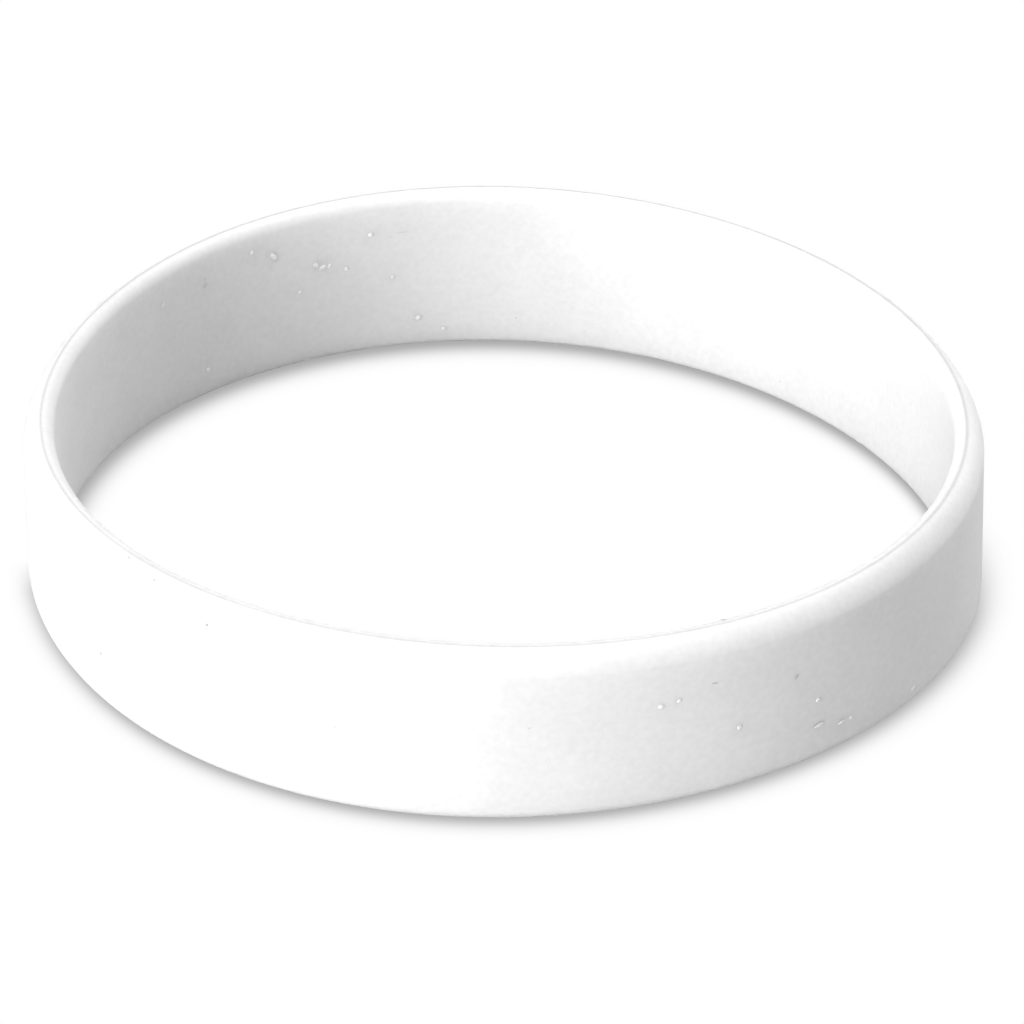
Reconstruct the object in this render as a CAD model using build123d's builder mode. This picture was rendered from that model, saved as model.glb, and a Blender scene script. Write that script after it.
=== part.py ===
from build123d import *
from math import cos, pi, radians, sin
import os

# Silicone wristband: one endless moulded ring of soft rubber, modelled in millimetres.
# It lies on its lower edge, the foot, with +Z up and its front towards -Y. The origin is at the
# middle of the ring, on the surface it rests on.

# Driving dimensions
inner_girth = 202.0  # round the inside of the wall
width = 12.7  # half an inch, from the foot to the rim
thickness = 2.1
outer_edge_radius = 1.2  # between the outer face and the foot or the rim
inner_edge_radius = 0.35  # between the inner face and the foot or the rim
parting_line_width = 0.12  # the fine groove where the two halves of the mould met
parting_line_depth = 0.08

# The soft ring doesn't lie quite round. Its foot and its rim each stray from a circle in waves of
# two and of three bulges. A share is of the inside radius, and a direction is where one bulge
# points, in degrees from +X towards +Y.
slack = {
    "foot": {"oval_share": 0.015, "oval_toward": 106.0, "three_share": 0.0095, "three_toward": -3.0},
    "rim": {"oval_share": 0.029, "oval_toward": 93.0, "three_share": 0.0100, "three_toward": -19.0},
}
outline_points = 18
rounding_steps = 4  # between the lines that a rounded edge is drawn through

# Sizes worked out from them
inner_radius = inner_girth / (2 * pi)
outer_edge = min(outer_edge_radius, 0.60 * thickness, 0.40 * width)
inner_edge = min(inner_edge_radius, 0.20 * thickness, 0.40 * width)
parting_line_outside = thickness - outer_edge  # the mould parts where the outer rounding starts


def stray(level, angle):
    """Distance that the foot or the rim lies outside a true circle at an angle."""
    row = slack[level]
    oval = row["oval_share"] * cos(radians(2 * (angle - row["oval_toward"])))
    three = row["three_share"] * cos(radians(3 * (angle - row["three_toward"])))
    return inner_radius * (oval + three)


def outline(height, from_inside):
    """Points of the closed line round the ring at a height, at a distance from the inner face."""
    rise = height / width
    points = []
    for step in range(outline_points):
        angle = 360.0 * step / outline_points
        bulge = (1 - rise) * stray("foot", angle) + rise * stray("rim", angle)
        reach = inner_radius + from_inside + bulge
        points.append((reach * cos(radians(angle)), reach * sin(radians(angle))))
    return points


def runs(face, start, radius):
    """The lower rounded edge, the straight wall and the upper rounded edge of one face.

    Each is a list of heights and distances from the inner face, from the bottom up. face is the
    distance of the wall, and start is where its roundings leave the foot and the rim.
    """
    turns = [radians(90.0 * step / rounding_steps) for step in range(rounding_steps + 1)]
    lower = [(radius * (1 - cos(turn)), start + (face - start) * sin(turn)) for turn in turns]
    upper = [(width - height, from_inside) for height, from_inside in reversed(lower)]
    wall = [lower[-1], upper[0]]
    return lower, wall, upper


with BuildPart() as band:
    # A disc out to the outer face, then the opening for the wrist, in to the inner face
    for face, start, radius, mode in (
        (thickness, thickness - outer_edge, outer_edge, Mode.ADD),
        (0.0, inner_edge, inner_edge, Mode.SUBTRACT),
    ):
        for run in runs(face, start, radius):
            for height, from_inside in run:
                with BuildSketch(Plane.XY.offset(height)):
                    with BuildLine():
                        Spline(*outline(height, from_inside), periodic=True)
                    make_face()
            loft(mode=mode)

    # Parting line of the mould, round the foot and round the rim
    for height, inwards in ((0.0, 1), (width, -1)):
        with BuildSketch(Plane.XY.offset(height)):
            with BuildLine():
                Spline(*outline(height, parting_line_outside), periodic=True)
            make_face()
            with BuildLine():
                Spline(*outline(height, parting_line_outside - parting_line_width), periodic=True)
            make_face(mode=Mode.SUBTRACT)
        extrude(amount=inwards * parting_line_depth, mode=Mode.SUBTRACT)

band.part.label = "band"
os.makedirs("parts", exist_ok=True)
export_step(band.part, "parts/band.step")

volume = band.part.volume
print(f"band: {volume:.0f} mm3, inside radius {inner_radius:.2f} mm, {band.part.bounding_box()}")
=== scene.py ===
"""Looks of the silicone wristband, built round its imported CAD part.

Lengths are in metres. Those of the grains and of the camera's sensor are in millimetres.
"""

import math

import bmesh
import bpy
import numpy as np
from mathutils import Matrix, Vector


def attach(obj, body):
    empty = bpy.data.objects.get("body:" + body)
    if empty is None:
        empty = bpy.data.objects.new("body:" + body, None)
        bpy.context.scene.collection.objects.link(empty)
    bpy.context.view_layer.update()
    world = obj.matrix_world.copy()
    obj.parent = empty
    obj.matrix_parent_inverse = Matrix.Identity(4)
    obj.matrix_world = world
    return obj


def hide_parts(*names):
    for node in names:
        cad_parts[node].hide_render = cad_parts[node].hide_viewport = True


MM = 0.001

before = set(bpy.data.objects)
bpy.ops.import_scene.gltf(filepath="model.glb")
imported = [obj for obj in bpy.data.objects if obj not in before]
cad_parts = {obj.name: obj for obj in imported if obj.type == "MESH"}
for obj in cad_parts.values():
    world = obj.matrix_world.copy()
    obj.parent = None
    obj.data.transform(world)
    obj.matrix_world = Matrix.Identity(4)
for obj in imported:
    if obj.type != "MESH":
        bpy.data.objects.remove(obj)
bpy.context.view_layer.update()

# The wristband
INNER_RADIUS = 32.15 * MM
WIDTH = 12.7 * MM
THICKNESS = 2.1 * MM
# How the wall turns into the foot and into the rim, on its inner and its outer side: how far each edge
# reaches across the wall and along it, and how full it is. 2 is round, less is nearer to a bevel and
# more is squarer.
EDGES = {
    "foot": {
        "inner": {"across": 0.3 * MM, "along": 0.3 * MM, "fullness": 2.0},
        "outer": {"across": 1.2 * MM, "along": 1.1 * MM, "fullness": 2.5},
    },
    "rim": {
        "inner": {"across": 0.85 * MM, "along": 1.0 * MM, "fullness": 2.0},
        "outer": {"across": 1.2 * MM, "along": 1.7 * MM, "fullness": 1.45},
    },
}
# The parting line of the mould, a fine groove round the foot and round the rim
PARTING_LINE = 0.90 * MM  # from the inner face
PARTING_LINE_WIDTH = 0.24 * MM
PARTING_LINE_DEPTH = 0.05 * MM
PARTING_LINE_SHAPE = (  # across, in widths, and down, in depths
    (-1.6, 0.0), (-0.8, 0.0), (-0.45, 0.35), (-0.2, 0.85), (0.0, 1.0),
    (0.2, 0.85), (0.45, 0.35), (0.8, 0.0), (1.6, 0.0),
)
# The parting line's darker tone is painted shade in its groove
PARTING_LINE_SHADE_REACH = 0.9  # how far to each side its darker tone fades out, in widths
# The soft ring doesn't lie quite round. Its foot and its rim each stray from a circle in waves of two,
# three and four bulges: a share of the inside radius, and the direction of one bulge in degrees from +X.
SLACK = {
    "foot": {"oval": (0.0140, 98.5), "three": (0.0087, -3.5), "four": (0.0050, -12.5)},
    "rim": {"oval": (0.0297, 93.0), "three": (0.0105, -24.0), "four": (0.0025, 15.5)},
}
STEPS_AROUND = 900
STEPS_UP_WALL = 14
STEPS_ROUND_EDGE = 14
STEPS_ON_FLAT = 3  # from an inner edge to the parting line, where the two lie apart

# The camera, fitted to the photograph's outlines
FOCAL_PIXELS = 3993
IMAGE_PIXELS = 1024
SENSOR = 36.0
CAMERA_DISTANCE = 285.8 * MM
CAMERA_ELEVATION = 29.6
CAMERA_ROLL = 1.00
CAMERA_OFFSET = (-0.80 * MM, -2.77 * MM)  # of the ring from the picture's middle, to the right and up

# The silicone's skin. Its tones are shares of the light that it throws back.
WHITE = 0.86
CLOUD_SIZE = 5.0 * MM
CLOUD_DEPTH = 0.012
MOTTLE_SIZE = 0.45 * MM
MOTTLE_DETAIL = 2.0
MOTTLE_DEPTH = 0.022
MOTTLE_HEIGHT = 0.008 * MM
SKIN_ROUGHNESS = (0.46, 0.54)
# painted shade: how much darker the parting line's groove is painted
PARTING_LINE_SHADE = 0.22
SILICONE_IOR = 1.41
LIGHT_SPREAD = 1.0 * MM  # how far light travels under the skin
NOISE_LOW, NOISE_HIGH = 0.3, 0.7  # most of a noise texture's values lie between these

# Grains and stains on the skin
GRAIN_HALF_HEIGHT = 0.32  # as a share of its width
GRAIN_SUNK = 0.4  # how deep its middle lies under the skin, as a share of that half height
GRAIN_MOTTLE_SIZE = 0.1 * MM
GRAIN_MOTTLE = (0.92, 1.0)  # times its tone
GRAIN_ROUGHNESS = (0.6, 0.8)
# The larger ones: the side of the wall, the direction in degrees from +X, the height, the width and the
# length in millimetres, how far the length leans from level in degrees, and the tone, where clean rubber
# is 0.86. On the rim, the distance from the inner face stands in the place of the height.
GRAINS = (
    # side, direction, height, width, length, lean, tone
    ("inside", 143.5, 9.6, 0.45, 0.60, 90, 1.00),
    ("inside", 134.5, 2.1, 0.50, 0.55, -60, 1.00),
    ("inside", 126.5, 10.6, 0.40, 0.45, 90, 1.00),
    ("inside", 123.0, 9.7, 0.50, 0.85, -45, 1.00),
    ("inside", 119.0, 6.1, 0.35, 0.40, 0, 1.00),
    ("inside", 116.5, 8.0, 0.40, 0.60, -30, 1.00),
    ("inside", 115.5, 7.7, 0.40, 0.70, 15, 1.00),
    ("inside", 114.5, 7.7, 0.35, 0.45, 60, 1.00),
    ("inside", 112.0, 7.2, 0.40, 0.45, 0, 1.00),
    ("inside", 108.5, 9.7, 0.40, 0.50, 0, 0.98),
    ("inside", 105.5, 5.9, 0.40, 0.45, 0, 0.94),
    ("inside", 102.0, 2.3, 0.50, 0.60, 30, 1.00),
    ("inside", 98.5, 1.2, 0.40, 0.50, 0, 1.00),
    ("inside", 135.0, 9.5, 0.35, 0.60, 20, 0.76),
    ("inside", 104.5, 9.6, 0.10, 1.60, 3, 0.78),
    ("outside", -72.5, 8.0, 0.40, 0.50, 0, 0.98),
    ("outside", -70.5, 8.2, 0.30, 0.40, 30, 0.95),
    ("outside", -63.0, 5.0, 0.40, 0.45, 0, 0.94),
    ("outside", -52.5, 5.0, 0.40, 0.50, 0, 0.94),
    ("outside", -52.0, 2.9, 0.30, 1.05, 8, 0.94),
    ("outside", -48.5, 2.3, 0.30, 0.75, 10, 0.94),
    ("outside", -47.0, 2.3, 0.30, 0.35, 0, 0.97),
    ("outside", -35.5, 1.4, 0.40, 0.65, 35, 0.96),
    ("outside", -66.5, 9.0, 0.12, 0.60, -10, 0.70),
    ("outside", -56.0, 7.6, 0.25, 0.45, 60, 0.60),
    ("outside", -122.5, 11.1, 0.20, 0.25, 0, 0.48),
    ("outside", -140.5, 4.2, 0.22, 0.26, 0, 0.50),
    ("rim", -64.5, 0.5, 0.26, 0.40, 0, 0.60),
    ("rim", -136.0, 1.2, 0.20, 0.30, 0, 0.62),
    ("rim", -131.0, 1.5, 0.20, 0.30, 0, 0.64),
)
# Finer ones, scattered over the whole wall
FINE_GRAINS = 150
FINE_GRAIN_SEED = 7
FINE_GRAIN_HEIGHT = (1.5, WIDTH / MM - 2.2)  # clear of the edges
FINE_GRAIN_WIDTH = (0.06, 0.15)
FINE_GRAIN_LENGTH = (1, 1.7)  # in widths
FINE_GRAIN_TONES = {"light": (0.90, 0.98), "dark": (0.68, 0.78)}
FINE_GRAIN_LIGHT_SHARE = 0.75


def stray(level, angle):
    """How far the foot or the rim lies outside a true circle, at angles in radians."""
    out = 0.0
    for waves, key in ((2, "oval"), (3, "three"), (4, "four")):
        share, toward = SLACK[level][key]
        out = out + INNER_RADIUS * share * np.cos(waves * (angle - math.radians(toward)))
    return out


def fall(edge, depth):
    """How far an edge has turned away from the rim's or the foot's plane, at a depth in the wall."""
    share = max(0.0, 1 - depth / edge["across"])
    return edge["along"] * (1 - (1 - share ** edge["fullness"]) ** (1 / edge["fullness"]))


def edge_points(edge, stop):
    """Depths in the wall and falls along an edge, from the wall's face to a depth before the line."""
    power = 2 / edge["fullness"]
    last = math.asin(max(0.0, 1 - stop / edge["across"]) ** (1 / power))
    turns = np.linspace(math.pi / 2, last, STEPS_ROUND_EDGE + 1)
    across = [edge["across"] * (1 - math.sin(turn) ** power) for turn in turns]
    along = [edge["along"] * (1 - max(0.0, math.cos(turn)) ** power) for turn in turns]
    return list(zip(across, along))


def half_section(level):
    """Points from the inner wall over the rim, or under the foot, to the outer wall.

    Each is a distance from the inner face and a distance from the plane of the rim or of the foot.
    """
    inner, outer = EDGES[level]["inner"], EDGES[level]["outer"]
    brim = PARTING_LINE_SHAPE[-1][0] * PARTING_LINE_WIDTH
    points = edge_points(inner, PARTING_LINE - brim)[:-1]
    flat = np.linspace(points[-1][0], PARTING_LINE - brim, STEPS_ON_FLAT + 1)[1:-1]
    points += [(out, 0.0) for out in flat if out > inner["across"]]
    for share, depth in PARTING_LINE_SHAPE:
        out = PARTING_LINE + share * PARTING_LINE_WIDTH
        down = fall(inner, out) + fall(outer, THICKNESS - out)
        points.append((out, down + depth * PARTING_LINE_DEPTH))
    outside = edge_points(outer, THICKNESS - PARTING_LINE - brim)[:-1]
    return points + [(THICKNESS - depth, down) for depth, down in reversed(outside)]


def near_parting_line(profile):
    """For each point of the section, 1 in the bottom of the parting line and 0 away from it."""
    apart = np.abs(profile[:, 0] - PARTING_LINE) / (PARTING_LINE_WIDTH * PARTING_LINE_SHADE_REACH)
    return np.clip(1 - apart, 0, 1)


def section():
    """The closed outline of the wall: distance from the inner face, and height above the foot."""
    rim = [(out, WIDTH - down) for out, down in half_section("rim")]
    foot = list(reversed(half_section("foot")))
    outside = np.linspace(rim[-1][1], foot[0][1], STEPS_UP_WALL + 1)[1:-1]
    inside = np.linspace(foot[-1][1], rim[0][1], STEPS_UP_WALL + 1)[1:-1]
    return rim + [(THICKNESS, z) for z in outside] + foot + [(0.0, z) for z in inside]


def ring_mesh(name):
    """The wall swept round the ring, as a mesh of quads."""
    profile = np.array(section())
    count = len(profile)
    angles = np.linspace(0, 2 * math.pi, STEPS_AROUND, endpoint=False)
    rise = profile[:, 1] / WIDTH
    bulge = np.outer(stray("foot", angles), 1 - rise) + np.outer(stray("rim", angles), rise)
    reach = INNER_RADIUS + profile[:, 0] + bulge
    points = np.empty((STEPS_AROUND, count, 3))
    points[:, :, 0] = reach * np.cos(angles)[:, None]
    points[:, :, 1] = reach * np.sin(angles)[:, None]
    points[:, :, 2] = profile[:, 1]
    i, j = np.meshgrid(np.arange(STEPS_AROUND), np.arange(count), indexing="ij")
    nxt, up = (i + 1) % STEPS_AROUND, (j + 1) % count
    faces = np.stack([i * count + j, i * count + up, nxt * count + up, nxt * count + j], -1)
    mesh = bpy.data.meshes.new(name)
    mesh.from_pydata(points.reshape(-1, 3).tolist(), [], faces.reshape(-1, 4).tolist())
    mesh.polygons.foreach_set("use_smooth", np.ones(len(mesh.polygons), bool))
    line = mesh.attributes.new("parting_line", "FLOAT", "POINT")
    line.data.foreach_set("value", np.tile(near_parting_line(profile), STEPS_AROUND).astype(np.float32))
    mesh.update()
    return mesh


def node(tree, kind, inputs=None, **settings):
    """A new shader node, with some of its settings and of its inputs' values."""
    made = tree.nodes.new(kind)
    for key, value in settings.items():
        setattr(made, key, value)
    for key, value in (inputs or {}).items():
        made.inputs[key].default_value = value
    return made


def scaled(tree, value, low, high):
    """A noise carried to a range, and held at its ends."""
    ends = {"From Min": NOISE_LOW, "From Max": NOISE_HIGH, "To Min": low, "To Max": high}
    made = node(tree, "ShaderNodeMapRange", ends)
    tree.links.new(value, made.inputs["Value"])
    return made.outputs["Result"]


def combine(tree, operation, first, second):
    """A sum, product and so on. The second may be a number."""
    made = node(tree, "ShaderNodeMath", operation=operation)
    tree.links.new(first, made.inputs[0])
    if isinstance(second, (int, float)):
        made.inputs[1].default_value = second
    else:
        tree.links.new(second, made.inputs[1])
    return made.outputs[0]


def noise(tree, size, detail=1.0):
    """Soft random tones that stay with the object, about as large as a size in metres."""
    made = node(tree, "ShaderNodeTexNoise", {"Scale": 1 / size, "Detail": detail})
    place = node(tree, "ShaderNodeTexCoord")
    tree.links.new(place.outputs["Object"], made.inputs["Vector"])
    return made.outputs["Fac"]


def rubber(name, subsurface):
    """The shader of silicone rubber, soft and slightly see-through, with no colour yet."""
    material = bpy.data.materials.new(name)
    material.use_nodes = True
    shader = material.node_tree.nodes["Principled BSDF"]
    shader.inputs["IOR"].default_value = SILICONE_IOR
    shader.inputs["Subsurface Weight"].default_value = subsurface
    shader.inputs["Subsurface Radius"].default_value = (1.0, 1.0, 1.0)
    shader.inputs["Subsurface Scale"].default_value = LIGHT_SPREAD
    return material, shader


def silicone():
    """White silicone: faintly cloudy and mottled, with a satin skin and painted shade in the parting
    line's groove.
    """
    material, shader = rubber("white_silicone", 1.0)
    tree = material.node_tree
    mottle = noise(tree, MOTTLE_SIZE, MOTTLE_DETAIL)
    line = node(tree, "ShaderNodeAttribute", attribute_name="parting_line").outputs["Fac"]
    grey = scaled(tree, noise(tree, CLOUD_SIZE), WHITE - CLOUD_DEPTH, WHITE + CLOUD_DEPTH)
    grey = combine(tree, "ADD", grey, scaled(tree, mottle, -MOTTLE_DEPTH, MOTTLE_DEPTH))
    # painted shade, darker in the parting line's groove
    grey = combine(tree, "SUBTRACT", grey, combine(tree, "MULTIPLY", line, PARTING_LINE_SHADE))
    tree.links.new(grey, shader.inputs["Base Color"])
    tree.links.new(scaled(tree, mottle, *SKIN_ROUGHNESS), shader.inputs["Roughness"])
    bump = node(tree, "ShaderNodeBump", {"Distance": MOTTLE_HEIGHT})
    tree.links.new(mottle, bump.inputs["Height"])
    tree.links.new(bump.outputs["Normal"], shader.inputs["Normal"])
    return material


def grain_material():
    """Specks of rubber and dust: each has a tone of its own, and is matt and uneven."""
    material, shader = rubber("grains", 0.0)
    tree = material.node_tree
    tone = node(tree, "ShaderNodeAttribute", attribute_name="tone").outputs["Fac"]
    uneven = noise(tree, GRAIN_MOTTLE_SIZE)
    grey = combine(tree, "MULTIPLY", tone, scaled(tree, uneven, *GRAIN_MOTTLE))
    tree.links.new(grey, shader.inputs["Base Color"])
    tree.links.new(scaled(tree, uneven, *GRAIN_ROUGHNESS), shader.inputs["Roughness"])
    return material


def wall_frame(side, angle, height):
    """A place on the skin, with Z out of the rubber and Y up the wall, or outwards on the rim."""
    turn = math.radians(angle)
    away = Vector((math.cos(turn), math.sin(turn), 0))
    upright = Vector((0, 0, 1))
    if side == "rim":
        reach = INNER_RADIUS + height + stray("rim", turn)
        down = fall(EDGES["rim"]["inner"], height) + fall(EDGES["rim"]["outer"], THICKNESS - height)
        place = away * reach + upright * (WIDTH - down)
        normal, along = upright, away
    else:
        rise = height / WIDTH
        reach = INNER_RADIUS + (THICKNESS if side == "outside" else 0.0)
        reach += (1 - rise) * stray("foot", turn) + rise * stray("rim", turn)
        place = away * reach + upright * height
        normal, along = away if side == "outside" else -away, upright
    across = along.cross(normal)
    turned = Matrix((across, along, normal)).transposed().to_4x4()
    return Matrix.Translation(place) @ turned


def grains_mesh():
    """Small flat domes on the skin, at their places and scattered by a seed."""
    rng = np.random.default_rng(FINE_GRAIN_SEED)
    rows = list(GRAINS)
    for _ in range(FINE_GRAINS):
        side = "inside" if rng.random() < 0.5 else "outside"
        width = rng.uniform(*FINE_GRAIN_WIDTH)
        kind = "light" if rng.random() < FINE_GRAIN_LIGHT_SHARE else "dark"
        tone = rng.uniform(*FINE_GRAIN_TONES[kind])
        height = rng.uniform(*FINE_GRAIN_HEIGHT)
        lean = rng.uniform(0, 180)
        angle = rng.uniform(0, 360)
        length = width * rng.uniform(*FINE_GRAIN_LENGTH)
        rows.append((side, angle, height, width, length, lean, tone))
    shape = bmesh.new()
    tones = shape.verts.layers.float.new("tone")
    for side, angle, height, width, length, lean, tone in rows:
        tall = GRAIN_HALF_HEIGHT * width * MM
        size = Matrix.Diagonal((length * MM / 2, width * MM / 2, tall, 1.0))
        turn = Matrix.Rotation(math.radians(lean), 4, "Z")
        down = Matrix.Translation((0, 0, -GRAIN_SUNK * tall))
        place = wall_frame(side, angle, height * MM) @ turn @ down @ size
        steps = 3 if width > FINE_GRAIN_WIDTH[1] else 2  # more faces on the larger ones
        made = bmesh.ops.create_icosphere(shape, subdivisions=steps, radius=1.0, matrix=place)
        for vertex in made["verts"]:
            vertex[tones] = tone
    for face in shape.faces:
        face.smooth = True
    mesh = bpy.data.meshes.new("silicone_grains")
    shape.to_mesh(mesh)
    shape.free()
    return mesh


band = bpy.data.objects.new("silicone_ring", ring_mesh("silicone_ring"))
bpy.context.scene.collection.objects.link(band)
band.data.materials.append(silicone())
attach(band, "root")
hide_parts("band")

grains = bpy.data.objects.new("silicone_grains", grains_mesh())
bpy.context.scene.collection.objects.link(grains)
grains.data.materials.append(grain_material())
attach(grains, "root")

# The floor: white and evenly lit, with a short soft painted shadow round the strip that the ring stands
# on
FLOOR_RADIUS = 3.0
FLOOR_STEPS = 360
SHADOW_ROWS = 40  # of points, on each side of the strip's inner edge
SHADOW_SPREAD = 9.0 * MM  # from there to the last of them
FOOT_STRIP = (0.3 * MM, 1.1 * MM)  # what touches the floor, from the inner face
SHADOW_DEPTH = 0.59  # the share of the light that is lost on the strip
SHADOW_FALL = 2.1  # 2 is a bell curve, and more ends more sharply
# How far the shadow reaches: everywhere, and how much more on the right, at the back, and at both the
# front and the back
SHADOW_REACH = {
    "inside": {"everywhere": 1.0 * MM, "right": -0.3 * MM, "back": 0.7 * MM, "front and back": 0.35 * MM},
    "outside": {"everywhere": 1.6 * MM, "right": 0.2 * MM, "back": 0.9 * MM, "front and back": 0.75 * MM},
}
# The outer shadow fades beside the ring. In degrees in front of straight left or straight right, coming
# from the back: where it starts to fade, where it is gone, where it comes back, and where it is whole.
SHADOW_FADE = {"left": (-45, -20, 4, 12), "right": (-45, -22, -16, 14)}
FLOOR_GLOW = 0.245  # towards the ring
FLOOR_COLOUR = 0.35  # with the lamps' light, towards the ring too


def shadow(angles, apart, side):
    """The painted shadow: the share of the light that the floor loses, at a distance from what touches
    it.
    """
    more = SHADOW_REACH[side]
    reach = more["everywhere"] + more["right"] * np.cos(angles) + more["back"] * np.sin(angles)
    reach = reach + more["front and back"] * np.sin(angles) ** 2
    return SHADOW_DEPTH * np.exp(-(np.maximum(apart, 0) / reach) ** SHADOW_FALL)


def kept_beside_ring(angles):
    """The share of the outer shadow that each direction keeps."""
    ahead = -np.degrees(np.arcsin(np.sin(angles)))
    left, right = [np.interp(ahead, SHADOW_FADE[side], (1, 0, 0, 1)) for side in ("left", "right")]
    return np.where(np.cos(angles) < 0, left, right)


def floor_mesh():
    """A flat sheet in rows round the foot. Each point carries its painted shadow, as a share of light."""
    angles = np.linspace(0, 2 * math.pi, FLOOR_STEPS, endpoint=False)
    strip_inside, strip_outside = [INNER_RADIUS + out + stray("foot", angles) for out in FOOT_STRIP]
    apart = SHADOW_SPREAD * np.linspace(-1, 1, 2 * SHADOW_ROWS + 1)
    radii = np.vstack([strip_inside + apart[:, None], np.full((1, FLOOR_STEPS), FLOOR_RADIUS)])
    inside = shadow(angles, strip_inside - radii, "inside")
    outside = shadow(angles, radii - strip_outside, "outside")
    kept = np.where(radii > strip_inside, kept_beside_ring(angles), 1.0)
    lit = 1 - np.minimum(inside, outside) * kept
    rows = len(radii)
    points = np.zeros((rows, FLOOR_STEPS, 3))
    points[:, :, 0] = radii * np.cos(angles)
    points[:, :, 1] = radii * np.sin(angles)
    i, j = np.meshgrid(np.arange(rows - 1), np.arange(FLOOR_STEPS), indexing="ij")
    after = (j + 1) % FLOOR_STEPS
    faces = np.stack([i, i + 1, i + 1, i], -1) * FLOOR_STEPS + np.stack([j, j, after, after], -1)
    mesh = bpy.data.meshes.new("floor")
    middle = list(range(FLOOR_STEPS))
    mesh.from_pydata(points.reshape(-1, 3).tolist(), [], faces.reshape(-1, 4).tolist() + [middle])
    share = mesh.attributes.new("lit", "FLOAT", "POINT")
    share.data.foreach_set("value", lit.ravel().astype(np.float32))
    return mesh


def floor_material():
    """Shows the painted shadow, and throws back some of its light, with the lamps' own, on the ring."""
    material = bpy.data.materials.new("white_floor")
    material.use_nodes = True
    tree = material.node_tree
    tree.nodes.clear()
    link = tree.links.new
    lit = node(tree, "ShaderNodeAttribute", attribute_name="lit")
    shown = node(tree, "ShaderNodeEmission")
    link(lit.outputs["Fac"], shown.inputs["Strength"])
    bounce = node(tree, "ShaderNodeMath", {1: FLOOR_GLOW}, operation="MULTIPLY", name="bounce")
    link(lit.outputs["Fac"], bounce.inputs[0])
    glow = node(tree, "ShaderNodeEmission")
    link(bounce.outputs[0], glow.inputs["Strength"])
    matt = node(tree, "ShaderNodeBsdfDiffuse", {"Color": (FLOOR_COLOUR, FLOOR_COLOUR, FLOOR_COLOUR, 1)})
    thrown = node(tree, "ShaderNodeAddShader")
    link(glow.outputs[0], thrown.inputs[0])
    link(matt.outputs[0], thrown.inputs[1])
    seen = node(tree, "ShaderNodeLightPath")
    surface = node(tree, "ShaderNodeMixShader")
    link(seen.outputs["Is Camera Ray"], surface.inputs["Fac"])
    link(thrown.outputs[0], surface.inputs[1])
    link(shown.outputs[0], surface.inputs[2])
    output = node(tree, "ShaderNodeOutputMaterial")
    link(surface.outputs[0], output.inputs["Surface"])
    return material


floor = bpy.data.objects.new("floor", floor_mesh())
bpy.context.scene.collection.objects.link(floor)
floor.data.materials.append(floor_material())

# The light: square soft boxes, and no light from the world
LAMP_DISTANCE = 1.0
LAMP_SIZE = 0.42
world = bpy.data.worlds.new("studio")
world.use_nodes = True
bpy.context.scene.world = world
world.node_tree.nodes["Background"].inputs["Color"].default_value = (1, 1, 1, 1)
world.node_tree.nodes["Background"].inputs["Strength"].default_value = 0.0


def soft_box(name, azimuth, elevation, power):
    """A square lamp that faces the ring. Azimuth 0 is in front, and 90 on the right."""
    a, e = math.radians(azimuth), math.radians(elevation)
    away = Vector((math.sin(a) * math.cos(e), -math.cos(a) * math.cos(e), math.sin(e)))
    data = bpy.data.lights.new(name, "AREA")
    data.shape = "SQUARE"
    data.size = LAMP_SIZE
    data.energy = power
    lamp = bpy.data.objects.new(name, data)
    lamp.location = away * LAMP_DISTANCE
    lamp.rotation_euler = away.to_track_quat("Z", "Y").to_euler()
    bpy.context.scene.collection.objects.link(lamp)


LIGHTS = (  # name, azimuth and elevation in degrees, power in watts
    ("key", -45, 12, 4.1),
    ("key_front", -30, 12, 2.6),
    ("key_high", -30, 30, 2.9),
    ("key_left", -60, 30, 1.3),
    ("left_high", -90, 50, 1.7),
    ("front", 0, 12, 0.2),
    ("front_high", 0, 30, 0.3),
    ("top_back_right", 135, 71, 7.1),
    ("back_right", 135, 12, 1.9),
    ("right", 90, 12, 1.3),
)
for name, azimuth, elevation, power in LIGHTS:
    soft_box(name, azimuth, elevation, power)

# The camera
camera_data = bpy.data.cameras.new("camera")
camera_data.sensor_width = SENSOR
camera_data.lens = FOCAL_PIXELS / IMAGE_PIXELS * SENSOR
camera_data.clip_start = 0.01
camera_data.clip_end = 20.0
camera = bpy.data.objects.new("camera", camera_data)
e, r = math.radians(CAMERA_ELEVATION), math.radians(CAMERA_ROLL)
back = Vector((0, -math.cos(e), math.sin(e)))
right = Vector((1, 0, 0))
up = Vector((0, math.sin(e), math.cos(e)))
right, up = right * math.cos(r) + up * math.sin(r), up * math.cos(r) - right * math.sin(r)
place = back * CAMERA_DISTANCE - right * CAMERA_OFFSET[0] - up * CAMERA_OFFSET[1]
camera.matrix_world = Matrix.Translation(place) @ Matrix((right, up, back)).transposed().to_4x4()
bpy.context.scene.collection.objects.link(camera)
bpy.context.scene.camera = camera
bpy.context.scene.view_settings.view_transform = "Standard"
